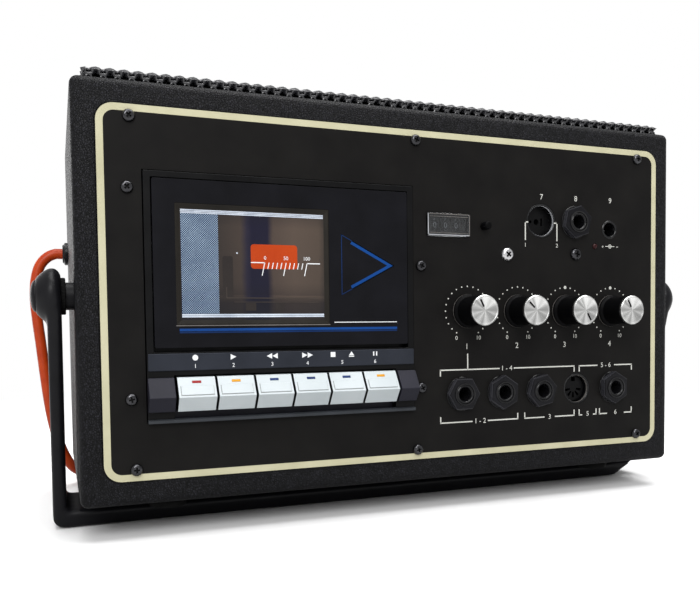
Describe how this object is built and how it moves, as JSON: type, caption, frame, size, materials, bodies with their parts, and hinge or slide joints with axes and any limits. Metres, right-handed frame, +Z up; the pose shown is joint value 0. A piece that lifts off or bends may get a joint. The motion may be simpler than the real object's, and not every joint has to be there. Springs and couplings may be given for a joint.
{
  "type": "portable cassette recorder",
  "caption": "Boxy portable cassette recorder with a tape deck and keys on the left, knobs and sockets on the right, a top speaker grille, a folding bail handle and a mains lead.",
  "frame": {"origin": "middle of the footprint on the floor, without the lead, its coil and its plug", "axes": "+X to the right as the front panel is faced, +Y to the back, +Z up"},
  "size_m": [0.3548, 0.2949, 0.2001],
  "materials": {
    "leathercloth": "fine grained covering cloth",
    "panel_paint": "satin paint with printed lines",
    "rear_board": "dark board",
    "black_plastic": "fine satin",
    "black_steel": "satin black",
    "plain_steel": "plain",
    "zinc": "dull",
    "brass": "turned",
    "spun_aluminium": "spun face, bright knurled rim",
    "paper_cone": "pressed paper",
    "board_green": "coated board",
    "lamination": "varnished laminations",
    "lamp_red": "tinted clear",
    "clear_plastic": "clear moulding",
    "smoked_plastic": "smoked clear sheet",
    "key_grey": "pale satin",
    "rubber": "matt",
    "wheel_black": "printed figures",
    "lead_orange": "soft sheath"
  },
  "bodies": {
    "recorder": {"cabinet": "leathercloth", "rear_panel": "rear_board", "front_panel": "panel_paint", "case_screws": "black_steel", "speaker_grille": "black_steel", "speaker_driver": "zinc", "speaker_cone": "paper_cone", "amplifier_board": "board_green", "mains_transformer": "lamination", "control_pots": "zinc", "jack_sockets": "black_plastic", "jack_nuts": "black_plastic", "speaker_socket": "black_plastic", "din_socket": "black_plastic", "dc_socket": "black_plastic", "power_lamp": "lamp_red", "deck_bezel": "black_plastic", "deck_chassis": "plain_steel", "drive_motor": "plain_steel", "drive_belt": "rubber", "key_shaft": "plain_steel", "counter_body": "black_plastic", "counter_window": "clear_plastic", "pivot_bolts": "black_steel", "pivot_washers": "rubber", "rubber_feet": "rubber", "lead_gland": "rubber", "mains_lead": "lead_orange", "lead_coil": "lead_orange", "coil_tie": "black_plastic", "mains_plug": "rubber"},
    "handle": {"handle": "black_plastic", "handle_caps": "black_plastic"},
    "door": {"cassette_door": "black_plastic", "door_window": "smoked_plastic", "cassette_holder": "black_plastic"},
    "input_control": {"input_knob": "black_plastic", "input_cap": "spun_aluminium"},
    "tape_control": {"tape_knob": "black_plastic", "tape_cap": "spun_aluminium"},
    "bass_control": {"bass_knob": "black_plastic", "bass_cap": "spun_aluminium"},
    "treble_control": {"treble_knob": "black_plastic", "treble_cap": "spun_aluminium"},
    "reset": {"reset_button": "black_plastic"},
    "units": {"units_wheel": "wheel_black"},
    "tens": {"tens_wheel": "wheel_black"},
    "hundreds": {"hundreds_wheel": "wheel_black"},
    "supply_reel": {"supply_hub": "black_plastic"},
    "takeup_reel": {"takeup_hub": "black_plastic"},
    "capstan": {"flywheel": "brass"},
    "rotor": {"motor_pulley": "brass"},
    "head_bridge": {"tape_head": "plain_steel"},
    "pinch": {"pinch_roller": "rubber"},
    "record_lever": {"record_key": "key_grey"},
    "play_lever": {"play_key": "key_grey"},
    "rewind_lever": {"rewind_key": "key_grey"},
    "forward_lever": {"forward_key": "key_grey"},
    "stop_lever": {"stop_key": "key_grey"},
    "pause_lever": {"pause_key": "key_grey"}
  },
  "joints": [
    {"name": "handle_swing", "type": "hinge", "parent": "recorder", "child": "handle", "pos_m": [0, -0.04603, 0.10486], "axis": [-1, 0, 0], "range_deg": [0, 194]},
    {"name": "door_hinge", "type": "hinge", "parent": "recorder", "child": "door", "pos_m": [-0.0647, -0.06482, 0.08371], "axis": [1, 0, 0], "range_deg": [0, 25], "stiffness_Nm_per_rad": 0.02, "springref_deg": -11.46},
    {"name": "record_press", "type": "hinge", "parent": "recorder", "child": "record_lever", "pos_m": [-0.10702, -0.04152, 0.06201], "axis": [1, 0, 0], "range_deg": [0, 5], "stiffness_Nm_per_rad": 1, "springref_deg": -1.15},
    {"name": "play_press", "type": "hinge", "parent": "recorder", "child": "play_lever", "pos_m": [-0.08977, -0.04152, 0.06201], "axis": [1, 0, 0], "range_deg": [0, 5], "stiffness_Nm_per_rad": 1, "springref_deg": -1.15},
    {"name": "rewind_press", "type": "hinge", "parent": "recorder", "child": "rewind_lever", "pos_m": [-0.07253, -0.04152, 0.06201], "axis": [1, 0, 0], "range_deg": [0, 5], "stiffness_Nm_per_rad": 1, "springref_deg": -1.15},
    {"name": "forward_press", "type": "hinge", "parent": "recorder", "child": "forward_lever", "pos_m": [-0.05527, -0.04152, 0.06201], "axis": [1, 0, 0], "range_deg": [0, 5], "stiffness_Nm_per_rad": 1, "springref_deg": -1.15},
    {"name": "stop_press", "type": "hinge", "parent": "recorder", "child": "stop_lever", "pos_m": [-0.03803, -0.04152, 0.06201], "axis": [1, 0, 0], "range_deg": [0, 5], "stiffness_Nm_per_rad": 1, "springref_deg": -1.15},
    {"name": "pause_press", "type": "hinge", "parent": "recorder", "child": "pause_lever", "pos_m": [-0.02077, -0.04152, 0.06201], "axis": [1, 0, 0], "range_deg": [0, 5], "stiffness_Nm_per_rad": 1, "springref_deg": -1.15},
    {"name": "input_turn", "type": "hinge", "parent": "recorder", "child": "input_control", "pos_m": [0.028, -0.06653, 0.09756], "axis": [0, 1, 0], "range_deg": [-123, 177]},
    {"name": "tape_turn", "type": "hinge", "parent": "recorder", "child": "tape_control", "pos_m": [0.0571, -0.06653, 0.09756], "axis": [0, 1, 0], "range_deg": [-103, 197]},
    {"name": "bass_turn", "type": "hinge", "parent": "recorder", "child": "bass_control", "pos_m": [0.0862, -0.06653, 0.09756], "axis": [0, 1, 0], "range_deg": [-300, 0]},
    {"name": "treble_turn", "type": "hinge", "parent": "recorder", "child": "treble_control", "pos_m": [0.1153, -0.06653, 0.09756], "axis": [0, 1, 0], "range_deg": [-121, 179]},
    {"name": "reset_press", "type": "slide", "parent": "recorder", "child": "reset", "axis": [0, 1, 0], "range_m": [0, 0.002], "stiffness_N_per_m": 200, "springref_m": -0.0005},
    {"name": "units_turn", "type": "hinge", "parent": "recorder", "child": "units", "pos_m": [0.0233, -0.05702, 0.13976], "axis": [1, 0, 0], "continuous": true},
    {"name": "tens_turn", "type": "hinge", "parent": "recorder", "child": "tens", "pos_m": [0.0174, -0.05702, 0.13976], "axis": [1, 0, 0], "continuous": true},
    {"name": "hundreds_turn", "type": "hinge", "parent": "recorder", "child": "hundreds", "pos_m": [0.0115, -0.05702, 0.13976], "axis": [1, 0, 0], "continuous": true},
    {"name": "supply_spin", "type": "hinge", "parent": "recorder", "child": "supply_reel", "pos_m": [-0.08595, -0.05203, 0.12141], "axis": [0, 1, 0], "continuous": true},
    {"name": "takeup_spin", "type": "hinge", "parent": "recorder", "child": "takeup_reel", "pos_m": [-0.04345, -0.05203, 0.12141], "axis": [0, 1, 0], "continuous": true},
    {"name": "capstan_spin", "type": "hinge", "parent": "recorder", "child": "capstan", "pos_m": [-0.0401, -0.04702, 0.09651], "axis": [0, 1, 0], "continuous": true},
    {"name": "rotor_spin", "type": "hinge", "parent": "recorder", "child": "rotor", "pos_m": [-0.1007, -0.03402, 0.10251], "axis": [0, 1, 0], "continuous": true},
    {"name": "head_slide", "type": "slide", "parent": "recorder", "child": "head_bridge", "axis": [0, 0, 1], "range_m": [0, 0.004]},
    {"name": "pinch_spin", "type": "hinge", "parent": "head_bridge", "child": "pinch", "pos_m": [-0.0401, -0.05432, 0.08601], "axis": [0, 1, 0], "continuous": true}
  ],
  "couplings": [
    {"joint": "rotor_spin", "follows": "capstan_spin", "ratio": 4.6667},
    {"joint": "units_turn", "follows": "takeup_spin", "ratio": 0.1},
    {"joint": "tens_turn", "follows": "takeup_spin", "ratio": 0.01},
    {"joint": "hundreds_turn", "follows": "takeup_spin", "ratio": 0.001},
    {"joint": "head_slide", "follows": "play_press", "m_per_rad": 0.045378}
  ]
}
